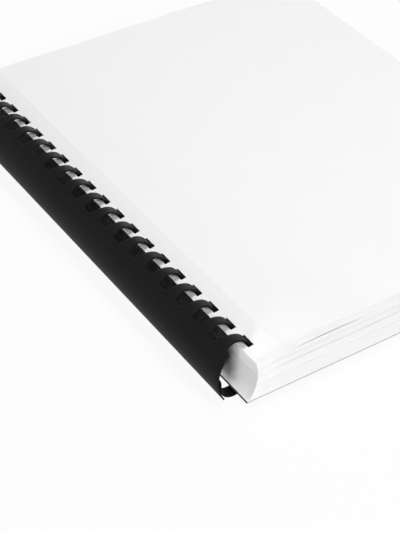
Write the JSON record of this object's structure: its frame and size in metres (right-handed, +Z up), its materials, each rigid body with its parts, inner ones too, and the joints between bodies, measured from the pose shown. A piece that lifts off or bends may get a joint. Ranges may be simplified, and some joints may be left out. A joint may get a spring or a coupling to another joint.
{
  "type": "comb-bound document",
  "caption": "Thick document of punched letter-size leaves held by a black oval plastic comb, with a dark card back cover; leaves and cover turn on the comb's fingers.",
  "frame": {"origin": "middle of the underside: centre of the overall box in X and Y, at the height of the table", "axes": "+X from the comb to the fore-edge, +Y along the comb from the tail to the head of the leaves, +Z up out of the first sheet"},
  "size_m": [0.2346, 0.2794, 0.0337],
  "materials": {
    "comb_plastic": "smooth black moulded plastic, satin gloss",
    "leaf_paper": "white uncoated copy paper",
    "cover_card": "dark charcoal cover card, fine grain"
  },
  "bodies": {
    "binding": {"comb": "comb_plastic", "leaves_07": "leaf_paper", "leaves_08": "leaf_paper", "leaves_09": "leaf_paper", "leaves_10": "leaf_paper", "leaves_11": "leaf_paper", "leaves_12": "leaf_paper", "leaves_13": "leaf_paper", "leaves_14": "leaf_paper"},
    "front_inner": {"leaves_04": "leaf_paper", "leaves_05": "leaf_paper", "leaves_06": "leaf_paper"},
    "front_outer": {"leaves_01": "leaf_paper", "leaves_02": "leaf_paper", "leaves_03": "leaf_paper"},
    "first_leaf": {"first_sheet": "leaf_paper"},
    "back_inner": {"leaves_15": "leaf_paper", "leaves_16": "leaf_paper", "leaves_17": "leaf_paper", "leaves_18": "leaf_paper", "leaves_19": "leaf_paper"},
    "back_outer": {"leaves_20": "leaf_paper", "leaves_21": "leaf_paper", "leaves_22": "leaf_paper", "leaves_23": "leaf_paper", "leaves_24": "leaf_paper"},
    "cover_leaf": {"back_cover": "cover_card"}
  },
  "joints": [
    {"name": "cover_turn", "type": "hinge", "parent": "cover_leaf", "child": "back_outer", "pos_m": [-0.10524, 0, 0.01], "axis": [0, -1, 0], "range_deg": [0, 16]},
    {"name": "back_outer_turn", "type": "hinge", "parent": "back_outer", "child": "back_inner", "pos_m": [-0.10524, 0, 0.01], "axis": [0, -1, 0], "range_deg": [0, 22]},
    {"name": "back_inner_turn", "type": "hinge", "parent": "back_inner", "child": "binding", "pos_m": [-0.10524, 0, 0.01], "axis": [0, -1, 0], "range_deg": [0, 22]},
    {"name": "front_inner_turn", "type": "hinge", "parent": "binding", "child": "front_inner", "pos_m": [-0.10524, 0, 0.0237], "axis": [0, -1, 0], "range_deg": [0, 28]},
    {"name": "front_outer_turn", "type": "hinge", "parent": "front_inner", "child": "front_outer", "pos_m": [-0.10524, 0, 0.0237], "axis": [0, -1, 0], "range_deg": [0, 28]},
    {"name": "first_leaf_turn", "type": "hinge", "parent": "front_outer", "child": "first_leaf", "pos_m": [-0.10524, 0, 0.0237], "axis": [0, -1, 0], "range_deg": [0, 20]}
  ]
}
